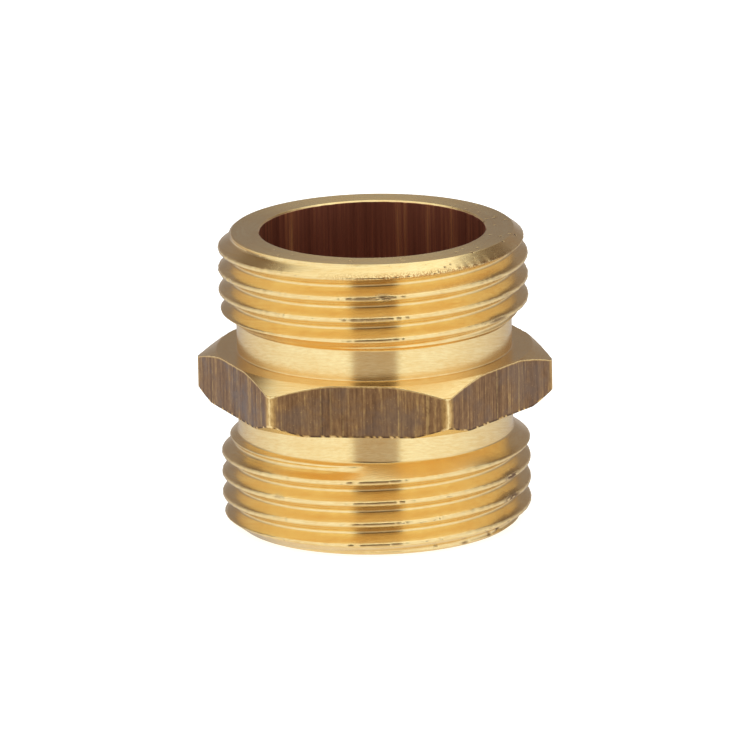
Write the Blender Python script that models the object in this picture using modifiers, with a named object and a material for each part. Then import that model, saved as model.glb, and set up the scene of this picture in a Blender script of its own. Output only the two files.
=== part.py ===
"""Brass hex nipple with a G 1 pipe thread on each end, at full size.

The real nipple is one machined piece, so the model is one solid. It is made in the order
that a lathe makes it: hexagonal bar, turned blank with its through bore, then two helical
thread grooves. Units are metres and +Z is the bore's axis. The origin is the centre of the
lower sealing face, and two of the hexagon's flats face -Y and +Y.
"""

import math

import bmesh
import bpy
from mathutils import Matrix

OBJECT_NAME = "hex_nipple"
MM = 0.001

# Lengths along the bore, from the lower sealing face upwards.
LOWER_END = 13.4 * MM
HEX_THICKNESS = 5.7 * MM
UPPER_END = 12.9 * MM
LOWER_NECK = 3.25 * MM
UPPER_NECK = 3.4 * MM

# Thread, ISO 228 G 1: 11 turns an inch, 55 degree Whitworth form.
THREAD_MAJOR_RADIUS = 33.2 / 2 * MM
THREAD_PITCH = 25.4 / 11 * MM
THREAD_HALF_ANGLE = math.radians(27.5)
WHITWORTH_DEPTH = 0.640327 * THREAD_PITCH
WHITWORTH_ROUNDING = 0.137329 * THREAD_PITCH
LIP_WIDTH = 0.06 * MM

# One crest of each thread passes the middle of the front, -Y, at these heights.
UPPER_CREST_HEIGHT = 26.25 * MM
LOWER_CREST_HEIGHT = 6.05 * MM

# Turned surfaces. The end chamfers' and the shoulders' lengths are along the bore.
BORE_RADIUS = 24.2 / 2 * MM
BORE_CHAMFER = 0.17 * MM
UPPER_FACE_RADIUS = 30.2 / 2 * MM
UPPER_END_CHAMFER = 1.15 * MM
LOWER_FACE_RADIUS = 29.6 / 2 * MM
LOWER_END_CHAMFER = 1.35 * MM
NECK_RADIUS = 29.5 / 2 * MM
SHOULDER_LENGTH = 1.3 * MM

# Hexagon. Each of its faces has a chamfer that begins at its own radius and slopes at its
# own angle from the face.
ACROSS_FLATS = 33.34 * MM
CORNER_ROUNDING = 0.9 * MM
CORNER_SEGMENTS = 5
UPPER_HEX_CHAMFER_RADIUS = 16.9 * MM
UPPER_HEX_CHAMFER_ANGLE = math.radians(31)
LOWER_HEX_CHAMFER_RADIUS = 17.6 * MM
LOWER_HEX_CHAMFER_ANGLE = math.radians(35)

# How round surfaces are divided, and how far a cutter stands clear of what it cuts.
TURN_STEPS = 48
CLEARANCE = 1.0 * MM
MERGE_DISTANCE = 0.00001
FRONT = math.radians(-90)
SHARP_ANGLE = math.radians(25)

LENGTH = LOWER_END + HEX_THICKNESS + UPPER_END
HEX_BOTTOM = LOWER_END
HEX_TOP = LOWER_END + HEX_THICKNESS
CORNER_RADIUS = ACROSS_FLATS / 2 / math.cos(math.radians(30))


def clear_scene():
    for obj in list(bpy.data.objects):
        bpy.data.objects.remove(obj, do_unlink=True)


def new_collection(name):
    collection = bpy.data.collections.new(name)
    bpy.context.scene.collection.children.link(collection)
    return collection


def new_object(name, mesh, collection):
    obj = bpy.data.objects.new(name, mesh)
    collection.objects.link(obj)
    return obj


def mark_as_cutter(obj):
    obj.hide_render = True
    obj.display_type = "WIRE"


def brass_material():
    material = bpy.data.materials.new("turned_brass")
    material.use_nodes = True
    shader = material.node_tree.nodes["Principled BSDF"]
    shader.inputs["Base Color"].default_value = (0.80, 0.56, 0.24, 1.0)
    shader.inputs["Metallic"].default_value = 1.0
    shader.inputs["Roughness"].default_value = 0.32
    return material


def blank_profile():
    """Radius and height of the turned blank's corners, down the outside and up the bore.

    The collar is turned wider than the bar's corners, so the bar itself limits it.
    """
    collar_radius = CORNER_RADIUS + CLEARANCE
    upper_drop = (collar_radius - UPPER_HEX_CHAMFER_RADIUS) * math.tan(UPPER_HEX_CHAMFER_ANGLE)
    lower_drop = (collar_radius - LOWER_HEX_CHAMFER_RADIUS) * math.tan(LOWER_HEX_CHAMFER_ANGLE)
    upper_shoulder = HEX_TOP + UPPER_NECK
    lower_shoulder = HEX_BOTTOM - LOWER_NECK
    outside = [
        (BORE_RADIUS + BORE_CHAMFER, LENGTH),
        (UPPER_FACE_RADIUS, LENGTH),
        (THREAD_MAJOR_RADIUS, LENGTH - UPPER_END_CHAMFER),
        (THREAD_MAJOR_RADIUS, upper_shoulder + SHOULDER_LENGTH),
        (NECK_RADIUS, upper_shoulder),
        (NECK_RADIUS, HEX_TOP),
        (UPPER_HEX_CHAMFER_RADIUS, HEX_TOP),
        (collar_radius, HEX_TOP - upper_drop),
        (collar_radius, HEX_BOTTOM + lower_drop),
        (LOWER_HEX_CHAMFER_RADIUS, HEX_BOTTOM),
        (NECK_RADIUS, HEX_BOTTOM),
        (NECK_RADIUS, lower_shoulder),
        (THREAD_MAJOR_RADIUS, lower_shoulder - SHOULDER_LENGTH),
        (THREAD_MAJOR_RADIUS, LOWER_END_CHAMFER),
        (LOWER_FACE_RADIUS, 0.0),
        (BORE_RADIUS + BORE_CHAMFER, 0.0),
    ]
    bore = [(BORE_RADIUS, BORE_CHAMFER), (BORE_RADIUS, LENGTH - BORE_CHAMFER)]
    return outside + bore


def make_turned_blank(collection):
    """The closed profile, spun round the bore's axis by a Screw modifier."""
    corners = [(radius, 0.0, height) for radius, height in blank_profile()]
    edges = [(i, (i + 1) % len(corners)) for i in range(len(corners))]
    mesh = bpy.data.meshes.new("nipple_body")
    mesh.from_pydata(corners, edges, [])
    blank = new_object("nipple_body", mesh, collection)
    screw = blank.modifiers.new("turning", "SCREW")
    screw.axis = "Z"
    screw.angle = math.tau
    screw.steps = TURN_STEPS
    screw.render_steps = TURN_STEPS
    screw.use_merge_vertices = True
    screw.merge_threshold = MERGE_DISTANCE
    return blank


def make_hex_bar(collection):
    """Drawn hexagonal bar with rounded corners, longer than the nipple at both ends."""
    bm = bmesh.new()
    bmesh.ops.create_cone(
        bm,
        cap_ends=True,
        segments=6,
        radius1=CORNER_RADIUS,
        radius2=CORNER_RADIUS,
        depth=LENGTH + 2 * CLEARANCE,
        matrix=Matrix.Translation((0.0, 0.0, LENGTH / 2)) @ Matrix.Rotation(math.radians(30), 4, "Z"),
    )
    upright = [edge for edge in bm.edges if abs(edge.verts[0].co.z - edge.verts[1].co.z) > LENGTH / 2]
    bmesh.ops.bevel(
        bm,
        geom=upright,
        offset=CORNER_ROUNDING * math.tan(math.radians(30)),
        offset_type="OFFSET",
        segments=CORNER_SEGMENTS,
        profile=0.5,
        affect="EDGES",
    )
    mesh = bpy.data.meshes.new("hex_bar")
    bm.to_mesh(mesh)
    bm.free()
    bar = new_object("hex_bar", mesh, collection)
    mark_as_cutter(bar)
    return bar


def groove_section():
    """Radius and axial offset of the corners of the thread groove's section.

    Each flank leans 27.5 degrees and touches the rounding of the root and of the crest, which
    a corner at the bottom and a slope at each lip stand for. The lips leave the crest between
    one turn of the groove and the next.
    """
    root_radius = THREAD_MAJOR_RADIUS - WHITWORTH_DEPTH
    rounding_depth = WHITWORTH_ROUNDING * (1 - math.sin(THREAD_HALF_ANGLE))
    rounding_width = WHITWORTH_ROUNDING * math.cos(THREAD_HALF_ANGLE)
    half_pitch = THREAD_PITCH / 2
    upper_side = [
        (root_radius + rounding_depth, rounding_width),
        (THREAD_MAJOR_RADIUS - rounding_depth, half_pitch - rounding_width),
        (THREAD_MAJOR_RADIUS + LIP_WIDTH, half_pitch - LIP_WIDTH),
        (THREAD_MAJOR_RADIUS + CLEARANCE, half_pitch - LIP_WIDTH),
    ]
    lower_side = [(radius, -offset) for radius, offset in reversed(upper_side)]
    return [(root_radius, 0.0)] + upper_side + lower_side


def make_thread_groove(name, crest_height, bottom, top, collection):
    """The groove's section, swept along a right-hand helix from bottom to top.

    The groove lies half a pitch from each crest. Its steps fall halfway between the blank's,
    so that no edge of one runs along an edge of the other.
    """
    step_angle = math.tau / TURN_STEPS
    step_height = THREAD_PITCH / TURN_STEPS
    front_height = crest_height + THREAD_PITCH / 2
    first_step = round((bottom - front_height) / step_height) + 0.5
    steps = round((top - bottom) / step_height)
    angle = FRONT + first_step * step_angle
    height = front_height + first_step * step_height
    bm = bmesh.new()
    ring = []
    for radius, offset in groove_section():
        place = (radius * math.cos(angle), radius * math.sin(angle), height + offset)
        ring.append(bm.verts.new(place))
    section = bm.faces.new(ring)
    bmesh.ops.spin(
        bm,
        geom=[section] + list(section.edges) + list(section.verts),
        cent=(0.0, 0.0, 0.0),
        axis=(0.0, 0.0, 1.0),
        dvec=(0.0, 0.0, step_height),
        angle=steps * step_angle,
        steps=steps,
        use_duplicate=False,
    )
    bmesh.ops.recalc_face_normals(bm, faces=bm.faces)
    mesh = bpy.data.meshes.new(name)
    bm.to_mesh(mesh)
    bm.free()
    groove = new_object(name, mesh, collection)
    mark_as_cutter(groove)
    return groove


def combine(body, operation, other):
    modifier = body.modifiers.new(other.name, "BOOLEAN")
    modifier.operation = operation
    modifier.solver = "EXACT"
    modifier.object = other


def apply_modifiers(body):
    """Keeps the evaluated mesh, so that the cut edges can be marked sharp."""
    depsgraph = bpy.context.evaluated_depsgraph_get()
    mesh = bpy.data.meshes.new_from_object(body.evaluated_get(depsgraph))
    outline = body.data
    body.modifiers.clear()
    body.data = mesh
    bpy.data.meshes.remove(outline)


def make_nipple(parts, cutters):
    body = make_turned_blank(parts)
    combine(body, "INTERSECT", make_hex_bar(cutters))
    upper_neck = HEX_TOP + UPPER_NECK / 2
    lower_neck = HEX_BOTTOM - LOWER_NECK / 2
    past_top = LENGTH + THREAD_PITCH
    past_bottom = -THREAD_PITCH
    upper = make_thread_groove("upper_groove", UPPER_CREST_HEIGHT, upper_neck, past_top, cutters)
    lower = make_thread_groove("lower_groove", LOWER_CREST_HEIGHT, past_bottom, lower_neck, cutters)
    combine(body, "DIFFERENCE", upper)
    combine(body, "DIFFERENCE", lower)
    weld = body.modifiers.new("tidy_cuts", "WELD")
    weld.merge_threshold = MERGE_DISTANCE
    apply_modifiers(body)
    body.data.name = body.name
    body.data.materials.clear()
    body.data.materials.append(brass_material())
    body.data.shade_smooth()
    body.data.set_sharp_from_angle(angle=SHARP_ANGLE)


def main():
    clear_scene()
    parts = new_collection(OBJECT_NAME)
    cutters = new_collection("cutters")
    make_nipple(parts, cutters)


main()
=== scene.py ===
"""The hex nipple's final look: one finely threaded brass body, its finishes, light and camera.

Units are metres, in the CAD model's own frame: +Z along the bore, z = 0 at the lower face.
An azimuth is an angle round the bore's axis from the front, -Y, towards the right, +X.
"""

import math
from dataclasses import dataclass, field

import bmesh
import bpy
import numpy as np
from mathutils import Matrix, Vector


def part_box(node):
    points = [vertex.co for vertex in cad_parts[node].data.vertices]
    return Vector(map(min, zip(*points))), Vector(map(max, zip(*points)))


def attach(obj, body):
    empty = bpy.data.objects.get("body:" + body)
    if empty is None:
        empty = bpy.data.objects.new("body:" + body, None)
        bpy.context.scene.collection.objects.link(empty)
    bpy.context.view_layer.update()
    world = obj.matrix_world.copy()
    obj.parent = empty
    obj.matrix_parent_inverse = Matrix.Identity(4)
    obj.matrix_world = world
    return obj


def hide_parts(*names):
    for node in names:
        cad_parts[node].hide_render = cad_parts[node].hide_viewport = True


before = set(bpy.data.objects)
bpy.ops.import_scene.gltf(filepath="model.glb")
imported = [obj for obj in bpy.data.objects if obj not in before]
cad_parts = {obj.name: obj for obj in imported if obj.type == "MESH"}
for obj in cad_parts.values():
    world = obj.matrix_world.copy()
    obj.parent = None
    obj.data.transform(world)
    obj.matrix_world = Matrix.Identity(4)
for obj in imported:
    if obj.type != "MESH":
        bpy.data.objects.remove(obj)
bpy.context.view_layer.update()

MM = 0.001
TURN = 2 * math.pi

# Places read from the frame, and turned sizes. All but the bevel are the CAD model's.
LOW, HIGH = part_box("nipple_body")
LENGTH = HIGH[2] - LOW[2]
HALF_FLATS = HIGH[1]
BORE_RADIUS = 12.1 * MM
BORE_BEVEL = 0.14 * MM
NECK_RADIUS = 14.75 * MM
SHOULDER_LENGTH = 1.3 * MM
CREST_RADIUS = 16.6 * MM

# Whitworth thread form, 11 turns an inch.
PITCH = 25.4 / 11 * MM
HALF_ANGLE = math.radians(27.5)
THREAD_DEPTH = 0.640327 * PITCH
THREAD_ROUNDING = 0.137329 * PITCH
ARC_WIDTH = THREAD_ROUNDING * math.cos(HALF_ANGLE)
ARC_DEPTH = THREAD_ROUNDING * (1 - math.sin(HALF_ANGLE))

# Roundings too small for the CAD model, and a hexagon corner that stays inside its facets.
CORNER_ROUNDING = 1.02 * MM
RIM_ROUNDING = 0.09 * MM
HEX_EDGE_ROUNDING = 0.1 * MM
NECK_FILLET = 0.1 * MM
CUT_SOFTNESS = 0.05 * MM

# Wear and burrs: how far crests are worn down, and how uneven the edges are.
CREST_WEAR = 0.03 * MM
CREST_HALF_WIDTH = 0.11  # turns
CREST_BURR = 0.026 * MM
CHAMFER_FOOT_BURR = 0.045 * MM
CHATTER_AZIMUTH = math.radians(32)
CHATTER_HALF_WIDTH = 0.5  # radians
HEX_EDGE_BURR = 0.035 * MM

# How far the shoulder's rows run on into the neck, and the spacing of the level rows.
SHOULDER_OVERLAP = 0.3 * MM
LEVEL_SPACING = 0.2 * MM

# Finishes, as slot numbers on the body.
TURNED, DRAWN, BORE = range(3)


@dataclass
class End:
    """One threaded end and the hexagon's face behind it. Inward is the way to the hexagon.

    The edge finish is that of the rounding between the hexagon's chamfer and its flats.
    """

    face: float
    inward: int
    length: float
    neck: float
    face_radius: float
    chamfer_length: float
    crest_height: float
    hex_chamfer_radius: float
    hex_chamfer_angle: float
    tool_withdrawn: bool
    edge_finish: int
    seed: int


UPPER = End(
    face=LENGTH, inward=-1, length=12.9 * MM, neck=3.4 * MM,
    face_radius=15.1 * MM, chamfer_length=1.15 * MM, crest_height=26.25 * MM,
    hex_chamfer_radius=16.9 * MM, hex_chamfer_angle=32.3,
    tool_withdrawn=False, edge_finish=TURNED, seed=1,
)
LOWER = End(
    face=0.0, inward=1, length=13.4 * MM, neck=3.25 * MM,
    face_radius=14.8 * MM, chamfer_length=1.35 * MM, crest_height=6.05 * MM,
    hex_chamfer_radius=17.6 * MM, hex_chamfer_angle=35,
    tool_withdrawn=True, edge_finish=DRAWN, seed=2,
)


@dataclass
class Row:
    """One ring of points: its radius and height, and by column its wear and painted highlight, and
    its tears and painted shade.

    The finish is that of the band between this row and the next.
    """

    radius: np.ndarray
    height: np.ndarray
    worn_and_highlit: np.ndarray = field(default_factory=lambda: np.zeros_like(AZIMUTHS))
    torn_and_shaded: np.ndarray = field(default_factory=lambda: np.zeros_like(AZIMUTHS))
    finish: int = TURNED


# ---------------------------------------------------------------- shape of the body

def column_azimuths():
    """Azimuths once round, closer together across each rounded corner of the hexagon."""
    corner = math.radians(1.6)
    near = np.linspace(-corner, corner, 9)
    between = np.linspace(corner, TURN / 6 - corner, 56)[1:-1]
    sector = np.concatenate([near, between])
    sectors = [sector + TURN / 4 + side * TURN / 6 for side in range(6)]
    return np.append(np.concatenate(sectors), TURN / 4 + TURN - corner)


AZIMUTHS = column_azimuths()
ONES = np.ones_like(AZIMUTHS)


def uneven(seed, slowest, fastest, waves=16):
    """A wavy line round the axis, mostly between -1 and 1, with no seam."""
    random = np.random.default_rng(seed)
    total = np.zeros_like(AZIMUTHS)
    for count in random.integers(slowest, fastest, waves):
        total += np.sin(count * AZIMUTHS + random.uniform(0, TURN))
    return total / math.sqrt(waves)


def soft_min(a, b, width=CUT_SOFTNESS):
    return (a + b - np.sqrt((a - b) ** 2 + width**2)) / 2


def soft_max(a, b, width=CUT_SOFTNESS):
    return (a + b + np.sqrt((a - b) ** 2 + width**2)) / 2


def smooth_step(value, low, high):
    share = np.clip((value - low) / (high - low), 0, 1)
    return share * share * (3 - 2 * share)


def wrapped(angle):
    """The same direction as an angle between half a turn back and half a turn on."""
    return (angle + TURN / 2) % TURN - TURN / 2


def turns_from_crest(height, crest_height):
    """Distance along the axis from the nearest crest, in turns, of a right-hand thread."""
    turns = (height - crest_height) / PITCH - AZIMUTHS / TURN
    return np.abs(turns - np.round(turns))


def thread_radius(height, crest_height):
    """Radius of the endless thread: flanks, with an arc over each crest and in each root."""
    from_crest = turns_from_crest(height, crest_height) * PITCH
    from_root = PITCH / 2 - from_crest
    flank = CREST_RADIUS - ARC_DEPTH - (from_crest - ARC_WIDTH) / math.tan(HALF_ANGLE)
    crest_sag = THREAD_ROUNDING - np.sqrt(np.maximum(THREAD_ROUNDING**2 - from_crest**2, 0))
    root_sag = THREAD_ROUNDING - np.sqrt(np.maximum(THREAD_ROUNDING**2 - from_root**2, 0))
    radius = np.where(from_crest < ARC_WIDTH, CREST_RADIUS - crest_sag, flank)
    return np.where(from_root < ARC_WIDTH, CREST_RADIUS - THREAD_DEPTH + root_sag, radius)


def thread_heights(crest_height, low, high, levels):
    """Sorted heights of the mesh rows in each column: rows along the thread, and level rows.

    Rows along the thread stop at low and high, where they lie on each other and are welded.
    """
    side = np.array([0.05, 0.09, 0.125, 0.25, 0.375, 0.41, 0.45])
    phases = np.concatenate([-side[::-1], [0.0], side, [0.5]])
    first = math.floor((low - crest_height) / PITCH) - 2
    last = math.ceil((high - crest_height) / PITCH) + 2
    rows = []
    for turn in range(first, last + 1):
        for phase in phases:
            rows.append(crest_height + (turn + phase + AZIMUTHS / TURN) * PITCH)
    rows += [height * ONES for height in levels]
    return np.sort(np.clip(np.array(rows), low, high), axis=0)


def arc(centre, radius, start, end, steps, outward):
    """Points round a centre in the section, from start to end degrees above the horizontal."""
    points = []
    for degrees in np.linspace(start, end, steps):
        across = radius * math.cos(math.radians(degrees))
        along = radius * math.sin(math.radians(degrees))
        points.append((centre[0] + across, centre[1] + outward * along))
    return points


def sealing_face_rows(end):
    """The bevel at the bore's edge and the flat ring, as far as the rounding of its rim."""
    bevel = BORE_BEVEL * (1 + 0.08 * uneven(end.seed + 10, 8, 70))
    rows = []
    for share in (0.0, 0.08, 0.92, 1.0):
        rows.append(Row(BORE_RADIUS + share * bevel, end.face + end.inward * (1 - share) * bevel))
    inner = BORE_RADIUS + bevel
    for share in (0.03, 0.3, 0.6, 0.94):
        rows.append(Row(inner + share * (end.face_radius - RIM_ROUNDING - inner), end.face * ONES))
    return rows


SHORTEST_CONE = 0.3 * MM


def drawn_out(end, height, shoulder, radius):
    """The radius where the thread tool was drawn out of the last groove.

    From near the front to a little past the right, a plain cone runs from the neck down to
    the last whole crest.
    """
    azimuth = wrapped(AZIMUTHS)
    degrees = np.degrees(azimuth)
    crest = end.crest_height + PITCH * (1 + azimuth / TURN)
    rise = CREST_RADIUS - ARC_DEPTH - NECK_RADIUS
    run = np.maximum(shoulder - crest - ARC_WIDTH, SHORTEST_CONE)
    cone = NECK_RADIUS + (shoulder - height) * rise / run
    share = smooth_step(degrees, -15, 4) * (1 - smooth_step(degrees, 110, 150))
    share = share * smooth_step(height - crest, 0.6 * ARC_WIDTH, ARC_WIDTH)
    return radius + share * (cone - radius)


def thread_rows(end):
    """The rounded rim, then the thread, cut by the end chamfer and by the shoulder of the neck."""
    slope = (CREST_RADIUS - end.face_radius) / end.chamfer_length
    shoulder_slope = (CREST_RADIUS - NECK_RADIUS) / SHOULDER_LENGTH
    rim_end = math.atan(slope)
    shoulder = end.face + end.inward * (end.length - end.neck)
    start = end.face + end.inward * RIM_ROUNDING * (1 - math.sin(rim_end))
    stop = shoulder + end.inward * SHOULDER_OVERLAP
    chamfer_levels = end.face + end.inward * LEVEL_SPACING * np.arange(1, 9)
    shoulder_levels = shoulder - end.inward * LEVEL_SPACING * np.arange(-0.5, 8.5)
    levels = np.concatenate([chamfer_levels, shoulder_levels])
    heights = thread_heights(end.crest_height, min(start, stop), max(start, stop), levels)
    if end.inward < 0:
        heights = heights[::-1]

    from_chatter = wrapped(AZIMUTHS - CHATTER_AZIMUTH) / CHATTER_HALF_WIDTH
    chattered = 1 + 1.2 * np.exp(-(from_chatter**4))
    ragged = CHAMFER_FOOT_BURR * chattered * uneven(end.seed + 20, 30, 170)
    burrs = [CREST_BURR * uneven(end.seed + seed, 40, 180) for seed in (30, 35)]
    thread = []
    for height in heights:
        depth = (height - end.face) * end.inward
        chamfer = end.face_radius + depth * slope
        chamfer += ragged * np.clip(depth / end.chamfer_length, 0, 1) ** 3
        relief = NECK_RADIUS + (shoulder - height) * end.inward * shoulder_slope
        turns = turns_from_crest(height, end.crest_height)
        crest = np.exp(-((turns / CREST_HALF_WIDTH) ** 4))
        # Two burrs, each fading into the other along the thread, so that no two turns agree.
        along_thread = 2.1 * height / PITCH
        burr = burrs[0] * np.cos(along_thread) + burrs[1] * np.sin(along_thread)
        radius = thread_radius(height, end.crest_height) + (burr - CREST_WEAR) * crest
        if end.tool_withdrawn:
            radius = drawn_out(end, height, shoulder, radius)
        radius = soft_max(soft_min(soft_min(radius, chamfer), relief), NECK_RADIUS)
        dent, torn_and_shaded = nicks_at(height)
        outermost = np.clip((radius - CREST_RADIUS) / (0.2 * MM) + 1.7, 0, 1)
        thread.append(Row(radius - dent, height, crest * outermost, torn_and_shaded))

    rim = []
    for degrees in (90, 76, 62):
        angle = math.radians(degrees)
        radius = thread[0].radius - RIM_ROUNDING * (math.cos(rim_end) - math.cos(angle))
        height = end.face + end.inward * RIM_ROUNDING * (1 - math.sin(angle))
        rim.append(Row(radius, height * ONES))
    return rim + thread


# Dents in the thread's crests and chamfers: azimuth in degrees, then height, length, width
# and depth in mm, and how far the metal is torn.
NICKS = [
    (10, 28.64, 1.5, 0.22, 0.16, 1.0),
    (3, 28.6, 3.4, 0.14, 0.05, 0.5),
    (3, 26.28, 4.4, 0.12, 0.04, 0.4),
    (60, 28.95, 1.7, 0.16, 0.10, 0.3),
    (66, 26.68, 2.0, 0.16, 0.10, 0.3),
    (60, 24.34, 3.0, 0.20, 0.14, 0.8),
    (68, 6.49, 3.0, 0.30, 0.16, 1.0),
    (68, 4.18, 3.2, 0.34, 0.16, 1.0),
    (-34, 6.0, 1.2, 0.12, 0.05, 0.3),
    (-50, 31.62, 5.0, 0.08, 0.02, 0.7),
    (-34, 31.2, 3.0, 0.30, 0.02, 0.25),
    (56, 31.4, 8.0, 0.40, 0.01, 0.35),
    (-62, 28.2, 0.8, 0.2, 0.1, 0.2),
    (64, 0.8, 0.9, 0.22, 0.12, 1.0),
    (71, 1.2, 0.8, 0.22, 0.12, 1.0),
    (58, 0.45, 0.6, 0.20, 0.12, 0.8),
    (44, 0.35, 0.8, 0.16, 0.10, 0.8),
    (30, 0.5, 0.5, 0.20, 0.08, 0.6),
    (140, 28.9, 1.6, 0.2, 0.12, 0.5),
    (-150, 5.1, 2.0, 0.25, 0.14, 0.8),
]


def nicks_at(height):
    """How deep the nicks are in each column at these heights, and how torn the metal is."""
    dent = np.zeros_like(AZIMUTHS)
    torn_and_shaded = np.zeros_like(AZIMUTHS)
    for degrees, nick_height, length, width, depth, tear in NICKS:
        across = wrapped(AZIMUTHS - math.radians(degrees)) * CREST_RADIUS / (length / 2 * MM)
        along = (height - nick_height * MM) / (width * MM)
        dent += depth * MM * np.exp(-(across**4) - along**2)
        torn_and_shaded += tear * np.exp(-(across**4) - (along / 1.2) ** 2)
    return dent, np.clip(torn_and_shaded, 0, 1)


def neck_rows(end):
    """The plain neck between the thread's shoulder and the hexagon."""
    start = end.face + end.inward * (end.length - end.neck + SHOULDER_OVERLAP)
    hex_face = end.face + end.inward * end.length
    stop = hex_face - end.inward * NECK_FILLET
    rows = []
    for share in (0.35, 0.7, 0.95):
        rows.append(Row(NECK_RADIUS * ONES, (start + share * (stop - start)) * ONES))
    fillet = arc((NECK_RADIUS + NECK_FILLET, stop), NECK_FILLET, 180, 270, 4, -end.inward)
    return rows + [Row(radius * ONES, height * ONES) for radius, height in fillet]


def from_corner():
    """Angle from the nearest corner of the hexagon."""
    return np.abs((AZIMUTHS - TURN / 4 + TURN / 12) % (TURN / 6) - TURN / 12)


def hexagon_radius():
    """Distance from the axis to the bar's surface: flats, and an arc round each corner."""
    angle = from_corner()
    arc_centre = (HALF_FLATS - CORNER_ROUNDING) / math.cos(TURN / 12)
    arc_end = math.atan2(
        CORNER_ROUNDING * math.sin(TURN / 12),
        arc_centre + CORNER_ROUNDING * math.cos(TURN / 12),
    )
    reach = np.maximum(CORNER_ROUNDING**2 - (arc_centre * np.sin(angle)) ** 2, 0)
    rounded = arc_centre * np.cos(angle) + np.sqrt(reach)
    flat = HALF_FLATS / np.cos(TURN / 12 - angle)
    return np.where(angle < arc_end, rounded, flat)


def hexagon_face_rows(end):
    """From the neck's fillet over the turned face and its chamfer to the edge of the flats."""
    at_corner = np.exp(-((from_corner() / math.radians(1.4)) ** 2))
    rounding = HEX_EDGE_ROUNDING * (0.9 + 0.3 * uneven(end.seed + 40, 20, 190) + 0.9 * at_corner)
    face = end.face + end.inward * end.length
    outward = -end.inward
    bar = hexagon_radius()
    sine = math.sin(math.radians(end.hex_chamfer_angle))
    cosine = math.cos(math.radians(end.hex_chamfer_angle))
    # The chamfer's two corners, moved inwards by the rounding. Where the chamfer misses the
    # bar's surface, both are the plain corner between the face and the flat.
    reach = sine * end.hex_chamfer_radius - rounding
    inner = np.minimum((reach + cosine * rounding) / sine, bar - rounding)
    drop = np.minimum((reach - sine * (bar - rounding)) / cosine, -rounding)
    top = (inner, face - outward * rounding)
    side = (bar - rounding, face + outward * drop)

    start = NECK_RADIUS + NECK_FILLET
    rows = [Row(start + share * (inner - start), face * ONES) for share in (0.06, 0.4, 0.75, 0.96)]
    normal = 90 - end.hex_chamfer_angle
    rows += [Row(radius, height) for radius, height in arc(top, rounding, 90, normal, 4, outward)]
    first = rows[-1]
    last = Row(*arc(side, rounding, normal, normal, 1, outward)[0])
    for share in (0.04, 0.35, 0.65, 0.96):
        radius = first.radius + share * (last.radius - first.radius)
        rows.append(Row(radius, first.height + share * (last.height - first.height)))
    lumps = np.clip(uneven(end.seed + 50, 30, 190) + 1.5 * at_corner, 0, 1.5)
    turned_up = outward * HEX_EDGE_BURR * lumps**2
    # On the drawn lower edge the burrs are worn golden, and the rest of the edge is darkened with
    # painted shade.
    burred_and_shaded = end.edge_finish == DRAWN
    for step, (radius, height) in enumerate(arc(side, rounding, normal, 0, 5, outward)):
        worn_and_highlit = np.clip(lumps, 0, 1) if burred_and_shaded else ONES
        height = height + turned_up * math.sin(math.pi * step / 4)
        rows.append(Row(radius, height, worn_and_highlit, burred_and_shaded * ONES, end.edge_finish))
    return rows


def flats_rows(top, bottom):
    """The bar's own drawn surface. Its corners are worn golden, with a painted highlight line down
    the middle of each.
    """
    degrees = np.degrees(from_corner())
    # A wide band of real wear round each corner, and a thin painted highlight line at its middle.
    rubbed_and_highlight = 0.5 * np.exp(-((degrees / 1.9) ** 4)) + 0.5 * np.exp(-((degrees / 0.3) ** 2))
    rows = []
    for share in (0.0, 0.03, 0.25, 0.5, 0.75, 0.96, 1.0):
        height = top.height + share * (bottom.height - top.height)
        worn_and_highlit, torn_and_shaded = rubbed_and_highlight, 0 * rubbed_and_highlight
        if share == 0:
            worn_and_highlit = np.maximum(rubbed_and_highlight, 0.8)
        elif share == 1:
            # The bottom row carries the lower edge's painted shade.
            worn_and_highlit, torn_and_shaded = np.maximum(rubbed_and_highlight, bottom.worn_and_highlit), bottom.torn_and_shaded
        rows.append(Row(top.radius, height, worn_and_highlit, torn_and_shaded, DRAWN))
    return rows


def body_rows():
    """The closed section: up the bore, then over the upper end and down the outside."""
    rows = []
    for share in (0.0, 0.003, 0.5, 0.997):
        height = BORE_BEVEL + share * (LENGTH - 2 * BORE_BEVEL)
        rows.append(Row(BORE_RADIUS * ONES, height * ONES, finish=BORE))
    upper_face = hexagon_face_rows(UPPER)
    lower_face = hexagon_face_rows(LOWER)
    rows += sealing_face_rows(UPPER) + thread_rows(UPPER) + neck_rows(UPPER)
    rows += upper_face[:-1] + flats_rows(upper_face[-1], lower_face[-1]) + lower_face[-2::-1]
    rows += neck_rows(LOWER)[::-1] + thread_rows(LOWER)[::-1] + sealing_face_rows(LOWER)[::-1]
    return rows


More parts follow.
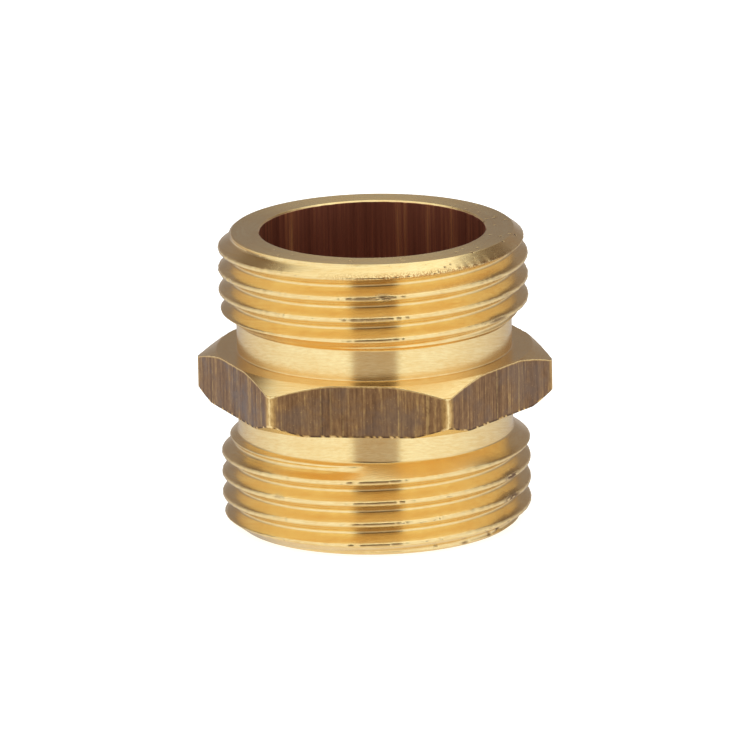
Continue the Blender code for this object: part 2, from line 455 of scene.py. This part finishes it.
def build_mesh():
    """Every row goes once round the axis, and the last band closes the section."""
    rows = body_rows()
    columns = len(AZIMUTHS)
    points = []
    for row in rows:
        x = row.radius * np.sin(AZIMUTHS)
        y = -row.radius * np.cos(AZIMUTHS)
        points.append(np.stack([x, y, row.height], axis=1))
    faces = []
    finishes = []
    for i, row in enumerate(rows):
        this = i * columns
        following = (i + 1) % len(rows) * columns
        for j in range(columns - 1):
            faces.append((this + j, following + j, following + j + 1, this + j + 1))
            finishes.append(row.finish)
    mesh = bpy.data.meshes.new("turned_body")
    mesh.from_pydata(np.concatenate(points).tolist(), [], faces)
    mesh.polygons.foreach_set("material_index", finishes)
    # Worn values include painted highlight lines, and torn values painted shade.
    for name in ("worn_and_highlit", "torn_and_shaded"):
        values = np.concatenate([getattr(row, name) for row in rows])
        mesh.attributes.new(name, "FLOAT", "POINT").data.foreach_set("value", values)

    bm = bmesh.new()
    bm.from_mesh(mesh)
    bmesh.ops.remove_doubles(bm, verts=bm.verts, dist=0.002 * MM)
    bmesh.ops.dissolve_degenerate(bm, edges=bm.edges, dist=0.0005 * MM)
    bm.to_mesh(mesh)
    bm.free()
    mesh.shade_smooth()
    return mesh


# ---------------------------------------------------------------- shader nodes

class Tree:
    """Short calls for building a node tree. A value is a number, a tuple or another socket."""

    def __init__(self, owner):
        owner.use_nodes = True
        self.nodes = owner.node_tree.nodes
        self.links = owner.node_tree.links
        self.coordinates = self.nodes.new("ShaderNodeTexCoord").outputs

    def join(self, value, socket):
        if isinstance(value, bpy.types.NodeSocket):
            self.links.new(value, socket)
        else:
            socket.default_value = value

    def add(self, kind, *values, **settings):
        """A new node, with its first sockets set in turn."""
        node = self.nodes.new(kind)
        for name, value in settings.items():
            setattr(node, name, value)
        for value, socket in zip(values, node.inputs):
            self.join(value, socket)
        return node

    def math(self, operation, a, b=0.0):
        return self.add("ShaderNodeMath", a, b, operation=operation).outputs[0]

    def combined(self, operation, *values):
        """One operation over all the values, from the left."""
        result = values[0]
        for value in values[1:]:
            result = self.math(operation, result, value)
        return result

    def product(self, *values):
        return self.combined("MULTIPLY", *values)

    def total(self, *values):
        return self.combined("ADD", *values)

    def largest(self, *values):
        return self.combined("MAXIMUM", *values)

    def vector(self, operation, a, b=(0.0, 0.0, 0.0)):
        return self.add("ShaderNodeVectorMath", a, b, operation=operation).outputs

    def split(self, vector):
        return self.add("ShaderNodeSeparateXYZ", vector).outputs

    def combine(self, x, y, z):
        return self.add("ShaderNodeCombineXYZ", x, y, z).outputs[0]

    def range(self, value, low, high, start=0.0, end=1.0, smooth=False):
        """The value, taken from low..high to start..end and held there beyond."""
        kind = "SMOOTHSTEP" if smooth else "LINEAR"
        limits = (low, high, start, end)
        return self.add("ShaderNodeMapRange", value, *limits, interpolation_type=kind).outputs[0]

    def mix(self, factor, a, b):
        node = self.add("ShaderNodeMix", factor, data_type="RGBA")
        self.join(a, node.inputs[6])
        self.join(b, node.inputs[7])
        return node.outputs[2]

    def noise(self, vector, scale, detail=2.0, roughness=0.5):
        node = self.add("ShaderNodeTexNoise", vector)
        node.inputs["Scale"].default_value = scale
        node.inputs["Detail"].default_value = detail
        node.inputs["Roughness"].default_value = roughness
        return node.outputs["Fac"]

    def attribute(self, name):
        return self.add("ShaderNodeAttribute", attribute_name=name).outputs["Fac"]

    def specks(self, vector, scale, size):
        """1 in small round specks scattered about one to a cell, 0 elsewhere."""
        node = self.add("ShaderNodeTexVoronoi", vector)
        node.inputs["Scale"].default_value = scale
        return self.range(node.outputs["Distance"], size * 0.5, size, 1.0, 0.0)

    def ramp(self, value, stops):
        node = self.add("ShaderNodeValToRGB", value)
        elements = node.color_ramp.elements
        while len(elements) < len(stops):
            elements.new(1.0)
        for element, (position, colour) in zip(elements, stops):
            element.position = position
            element.color = (*colour, 1.0)
        return node.outputs["Color"]

    def bump(self, height, distance):
        node = self.add("ShaderNodeBump")
        self.join(height, node.inputs["Height"])
        node.inputs["Distance"].default_value = distance
        return node.outputs["Normal"]

    def along_bore(self, share):
        """Object coordinates with Z times the share. Below 1, it draws noise out along Z."""
        return self.vector("MULTIPLY", self.coordinates["Object"], (1.0, 1.0, share))[0]

    def rings(self, spacing, drift):
        """Coordinates that change fast with radius and height, and slowly round the axis.

        Noise on them makes the marks that a lathe tool leaves on faces and round surfaces.
        """
        position = self.coordinates["Object"]
        radius = self.math("DIVIDE", self.vector("LENGTH", self.along_bore(0.0))["Value"], spacing)
        height = self.math("DIVIDE", self.split(position)["Z"], spacing)
        across = self.combine(radius, height, 0.0)
        around = self.vector("MULTIPLY", position, (drift, drift, 0.0))[0]
        return self.vector("ADD", across, around)[0]


# ---------------------------------------------------------------- finishes

PALE_BRASS = (0.98, 0.79, 0.42, 1.0)
DEEP_BRASS = (0.91, 0.65, 0.29, 1.0)
BROWN_BRASS = (0.66, 0.40, 0.17, 1.0)
# Orange of the brass neck's painted reflection on the hexagon's upper face.
NECK_REFLECTION_ORANGE = (0.88, 0.53, 0.19, 1.0)
TICK_BROWN = (0.55, 0.29, 0.10, 1.0)
TORN_BROWN = (0.22, 0.12, 0.06, 1.0)


def turned_finish():
    """Bright turned brass: tool marks round the axis, tarnish, torn crests, a pitted face, and a
    painted reflection of the neck on the hexagon's upper face.
    """
    material = bpy.data.materials.new("turned_brass")
    tree = Tree(material)
    shader = tree.nodes["Principled BSDF"].inputs
    position = tree.coordinates["Object"]
    x, y, z = tree.split(position)

    fine = tree.noise(tree.rings(0.09 * MM, 500.0), 1.0, 2.0)
    dashes = tree.noise(tree.rings(0.2 * MM, 1300.0), 1.0, 3.0, 0.65)
    broad = tree.noise(tree.rings(0.7 * MM, 150.0), 1.0, 2.0)
    tarnish = tree.noise(position, 420.0, 4.0, 0.6)
    shade = tree.total(
        tree.product(dashes, 0.5), tree.product(broad, 0.25), tree.product(tarnish, 0.25),
    )
    colour = tree.mix(tree.range(shade, 0.38, 0.62), PALE_BRASS, DEEP_BRASS)
    colour = tree.mix(tree.range(fine, 0.6, 0.8, 0.0, 0.3), colour, BROWN_BRASS)

    # The hexagon's upper face is mixed towards orange: a painted reflection of the brass neck.
    on_hexagon = tree.product(
        tree.range(z, 18.95 * MM, 19.08 * MM), tree.range(z, 19.11 * MM, 19.2 * MM, 1.0, 0.0),
    )
    colour = tree.mix(tree.product(on_hexagon, 0.3), colour, NECK_REFLECTION_ORANGE)

    # Short ticks that the tool left along the foot of the upper chamfer, at the front right.
    ticks = tree.product(
        tree.range(tree.noise(tree.along_bore(0.12), 6500.0, 1.0), 0.47, 0.53),
        tree.range(z, 31.35 * MM, 31.0 * MM),
        tree.range(z, 30.4 * MM, 30.6 * MM),
        tree.range(x, -5.0 * MM, 3.0 * MM),
        tree.range(y, -4.0 * MM, -8.0 * MM),
    )
    colour = tree.mix(tree.product(ticks, 0.85), colour, TICK_BROWN)

    # Scattered marks on the crests, torn places, and pits in the upper face and its right edge.
    grain = tree.noise(tree.along_bore(5.0), 900.0, 3.0, 0.65)
    rare = tree.product(tree.attribute("worn_and_highlit"), tree.range(grain, 0.66, 0.70, 0.0, 0.6))
    tears = tree.product(tree.attribute("torn_and_shaded"), tree.range(grain, 0.38, 0.46))
    pitted = tree.largest(
        tree.product(tree.range(z, 31.7 * MM, 31.95 * MM), tree.range(tarnish, 0.5, 0.6)),
        tree.product(tree.range(z, 31.0 * MM, 31.3 * MM), tree.range(x, 6.0 * MM, 10.0 * MM)),
    )
    pits = tree.product(tree.specks(position, 800.0, 0.2), pitted)
    marks = tree.largest(rare, tears, tree.product(pits, 0.8))
    tree.join(tree.mix(marks, colour, TORN_BROWN), shader["Base Color"])

    roughness = tree.total(tree.range(dashes, 0.3, 0.7, 0.19, 0.26), tree.product(marks, 0.25))
    tree.join(roughness, shader["Roughness"])
    relief = tree.total(tree.product(dashes, 0.8), broad, fine)
    relief = tree.math("SUBTRACT", relief, tree.product(marks, 3.0))
    relief = tree.math("SUBTRACT", relief, tree.product(pits, 9.0))
    tree.join(tree.bump(relief, 0.004 * MM), shader["Normal"])

    # The highlight is stretched square to the tool marks.
    around = tree.vector("CROSS_PRODUCT", (0.0, 0.0, 1.0), position)[0]
    tree.join(around, shader["Tangent"])
    shader["Metallic"].default_value = 1.0
    shader["Anisotropic"].default_value = 0.8
    shader["Anisotropic Rotation"].default_value = 0.25
    return material


DRAWN_SHADES = [
    (0.34, (0.12, 0.065, 0.036)),
    (0.46, (0.23, 0.125, 0.060)),
    (0.55, (0.34, 0.195, 0.090)),
    (0.66, (0.66, 0.42, 0.16)),
]
# Colours of worn corners and burrs, and of the painted highlight line on each corner.
WORN_AND_HIGHLIGHT_SHADES = [
    (0.35, (0.56, 0.34, 0.12)),
    (0.9, (0.94, 0.70, 0.34)),
]
OXIDE_BROWN = (0.215, 0.155, 0.120, 1.0)
OXIDE_GREY = (0.215, 0.195, 0.200, 1.0)
GOLD = (0.80, 0.55, 0.22, 1.0)
# Painted shade along the hexagon's lower edges.
PAINTED_EDGE_SHADE = (0.06, 0.03, 0.015, 1.0)


def drawn_finish():
    """Dull oxidised bar stock: streaks along the bar, mottled patches, worn corners with painted
    highlight lines, and painted shade along the lower edges.
    """
    material = bpy.data.materials.new("drawn_brass")
    tree = Tree(material)
    shader = tree.nodes["Principled BSDF"].inputs
    position = tree.coordinates["Object"]
    stretched = tree.along_bore(0.03)
    streaks = tree.noise(stretched, 4200.0, 3.0, 0.65)
    bands = tree.noise(stretched, 1100.0, 2.0)
    mottling = tree.noise(tree.along_bore(0.45), 2600.0, 3.0, 0.7)
    shade = tree.total(
        tree.product(streaks, 0.45), tree.product(bands, 0.3), tree.product(mottling, 0.25),
    )
    colour = tree.ramp(shade, DRAWN_SHADES)

    # Patches of oxide, greyer on the left flat, then thin bright lines and dots.
    patches = tree.range(tree.noise(position, 210.0, 5.0, 0.65), 0.47, 0.63, 0.0, 0.5)
    at_left = tree.range(tree.split(position)["X"], -9.5 * MM, -11.0 * MM)
    colour = tree.mix(patches, colour, tree.mix(at_left, OXIDE_BROWN, OXIDE_GREY))
    lines = tree.range(tree.noise(tree.along_bore(0.01), 2300.0, 1.0), 0.66, 0.70)
    dots = tree.specks(position, 2600.0, 0.15)
    gold = tree.product(tree.largest(lines, dots), tree.range(mottling, 0.35, 0.5, 0.05, 0.35))
    colour = tree.mix(gold, colour, GOLD)

    # Painted shade along the lower edges, then rubbed corners with their painted highlight lines,
    # and burrs.
    colour = tree.mix(tree.product(tree.attribute("torn_and_shaded"), 0.75), colour, PAINTED_EDGE_SHADE)
    worn_and_highlit = tree.product(tree.attribute("worn_and_highlit"), tree.range(mottling, 0.36, 0.56, 0.6, 1.1))
    colour = tree.mix(tree.range(worn_and_highlit, 0.05, 0.4), colour, tree.ramp(worn_and_highlit, WORN_AND_HIGHLIGHT_SHADES))
    tree.join(colour, shader["Base Color"])
    tree.join(tree.range(worn_and_highlit, 0.4, 1.0, 0.42, 0.26), shader["Roughness"])
    tree.join(tree.bump(tree.total(streaks, mottling), 0.014 * MM), shader["Normal"])
    shader["Metallic"].default_value = 0.88
    return material


BORE_SHADES = [
    (0.38, (0.21, 0.066, 0.038)),
    (0.52, (0.32, 0.108, 0.062)),
    (0.62, (0.50, 0.20, 0.095)),
    (0.70, (0.85, 0.46, 0.19)),
]


def bore_finish():
    """Dark reddish drawn surface of the bore, streaked along its length."""
    material = bpy.data.materials.new("drawn_bore")
    tree = Tree(material)
    shader = tree.nodes["Principled BSDF"].inputs
    stretched = tree.along_bore(0.02)
    streaks = tree.noise(stretched, 2400.0, 3.0, 0.6)
    bands = tree.noise(stretched, 450.0, 2.0)
    shade = tree.total(tree.product(streaks, 0.6), tree.product(bands, 0.4))
    tree.join(tree.ramp(shade, BORE_SHADES), shader["Base Color"])
    tree.join(tree.range(streaks, 0.3, 0.7, 0.48, 0.36), shader["Roughness"])
    tree.join(tree.bump(streaks, 0.01 * MM), shader["Normal"])
    shader["Metallic"].default_value = 0.75
    return material


# ---------------------------------------------------------------- stage, light and camera

CAMERA_AZIMUTH = math.radians(6.2)
CAMERA_ELEVATION = math.radians(15.22)
CAMERA_ROLL = math.radians(1.045)
CAMERA_DISTANCE = 1.4
FRAME_WIDTH = 80.4 * MM
AIM_HEIGHT = 15.8 * MM
FLOOR_SIZE = 6.0
FLOOR_GAP = 0.02 * MM
FLOOR_GLOW = 0.7

# The room is turned a little past the camera's own side, and is a little askew.
ROOM_AZIMUTH = CAMERA_AZIMUTH + math.radians(3.4)
ROOM_SKEW = 0.06

# Brightness of the room by degrees away from that side: below the horizon, above it, and
# higher still.
BELOW = [
    (0, (0.55, 0.475, 0.42)),
    (17, (0.55, 0.475, 0.42)),
    (20, (1.06, 1.10, 1.08)),
    (75, (0.97, 0.99, 0.98)),
    (120, (0.77, 0.75, 0.76)),
    (155, (0.54, 0.51, 0.51)),
    (180, (0.45, 0.42, 0.43)),
]
ABOVE = [
    (0, (0.14, 0.10, 0.075)),
    (17, (0.14, 0.10, 0.075)),
    (20, (1.05, 1.06, 1.02)),
    (70, (0.97, 0.97, 0.95)),
    (110, (0.50, 0.47, 0.47)),
    (150, (0.30, 0.255, 0.25)),
    (180, (0.25, 0.225, 0.22)),
]
HIGH_UP = [
    (0, (0.06, 0.045, 0.03)),
    (17, (0.06, 0.045, 0.03)),
    (20, (0.97, 0.98, 0.93)),
    (95, (0.85, 0.84, 0.80)),
    (128, (0.17, 0.125, 0.10)),
    (160, (0.18, 0.135, 0.11)),
    (169, (0.85, 0.78, 0.62)),
    (180, (0.85, 0.78, 0.62)),
]
TABLE = (0.90, 0.82, 0.69, 1.0)
SOFTBOX_SKEW = 0.5
SOFTBOX_LEFT = (1.04, 1.05, 0.98, 1.0)
SOFTBOX_RIGHT = (1.18, 1.22, 1.16, 1.0)


def make_floor():
    mesh = bpy.data.meshes.new("floor")
    bm = bmesh.new()
    bmesh.ops.create_grid(bm, x_segments=1, y_segments=1, size=FLOOR_SIZE / 2)
    bm.to_mesh(mesh)
    bm.free()
    floor = bpy.data.objects.new("floor", mesh)
    bpy.context.scene.collection.objects.link(floor)
    material = bpy.data.materials.new("pale_floor")
    material.use_nodes = True
    shader = material.node_tree.nodes["Principled BSDF"].inputs
    shader["Base Color"].default_value = (0.90, 0.90, 0.90, 1.0)
    shader["Roughness"].default_value = 0.9
    shader["Emission Color"].default_value = (1.0, 1.0, 1.0, 1.0)
    shader["Emission Strength"].default_value = FLOOR_GLOW
    mesh.materials.append(material)
    floor.location.z = -FLOOR_GAP
    floor.visible_glossy = False


def make_studio():
    """White panels left and right, an overhead softbox, and a dim gap where the camera stands."""
    world = bpy.data.worlds.new("studio")
    bpy.context.scene.world = world
    tree = Tree(world)
    direction = tree.coordinates["Generated"]
    turned = tree.add("ShaderNodeVectorRotate", direction, rotation_type="Z_AXIS")
    turned.inputs["Angle"].default_value = -ROOM_AZIMUTH
    right, back, up = tree.split(turned.outputs[0])

    angle = tree.math("ABSOLUTE", tree.math("ARCTAN2", right, tree.product(back, -1.0)))
    away = tree.total(tree.math("DIVIDE", angle, math.pi), tree.product(right, ROOM_SKEW))
    below, above, high_up = (
        tree.ramp(away, [(degrees / 180, colour) for degrees, colour in stops])
        for stops in (BELOW, ABOVE, HIGH_UP)
    )
    room = tree.mix(tree.range(up, -0.15, 0.15, smooth=True), below, above)
    room = tree.mix(tree.range(up, 0.36, 0.56, smooth=True), room, high_up)
    room = tree.mix(tree.range(up, -0.75, -0.45, 1.0, 0.0, smooth=True), room, TABLE)

    # The softbox overhead: places on it are slopes across and along the view, and its far edge
    # is askew.
    height = tree.largest(up, 0.05)
    across = tree.math("DIVIDE", right, height)
    along = tree.math("DIVIDE", back, height)
    askew = tree.math("SUBTRACT", along, tree.product(across, SOFTBOX_SKEW))
    box = tree.product(
        tree.range(across, -1.12, -0.80, smooth=True),
        tree.range(across, 0.58, 0.72, 1.0, 0.0, smooth=True),
        tree.range(along, -1.0, -0.85, smooth=True),
        tree.range(askew, 0.64, 1.12, 1.0, 0.0, smooth=True),
    )
    panel = tree.mix(tree.range(across, -0.3, 0.5), SOFTBOX_LEFT, SOFTBOX_RIGHT)
    background = tree.nodes["Background"].inputs
    tree.join(tree.mix(box, room, panel), background["Color"])
    background["Strength"].default_value = 1.0


def make_camera():
    data = bpy.data.cameras.new("camera")
    data.lens = data.sensor_width * CAMERA_DISTANCE / FRAME_WIDTH
    data.clip_end = 20.0
    camera = bpy.data.objects.new("camera", data)
    bpy.context.scene.collection.objects.link(camera)
    away = Vector((
        math.sin(CAMERA_AZIMUTH) * math.cos(CAMERA_ELEVATION),
        -math.cos(CAMERA_AZIMUTH) * math.cos(CAMERA_ELEVATION),
        math.sin(CAMERA_ELEVATION),
    ))
    aim = Vector((0.0, 0.0, AIM_HEIGHT))
    looking = (-away).to_track_quat("-Z", "Y").to_matrix().to_4x4()
    roll = Matrix.Rotation(-CAMERA_ROLL, 4, "Z")
    camera.matrix_world = Matrix.Translation(aim + away * CAMERA_DISTANCE) @ looking @ roll
    bpy.context.scene.camera = camera


def make_nipple():
    mesh = build_mesh()
    for finish in (turned_finish(), drawn_finish(), bore_finish()):
        mesh.materials.append(finish)
    nipple = bpy.data.objects.new("nipple", mesh)
    bpy.context.scene.collection.objects.link(nipple)
    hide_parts("nipple_body")
    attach(nipple, "root")


make_camera()
make_nipple()
make_floor()
make_studio()
bpy.context.scene.view_settings.view_transform = "Standard"
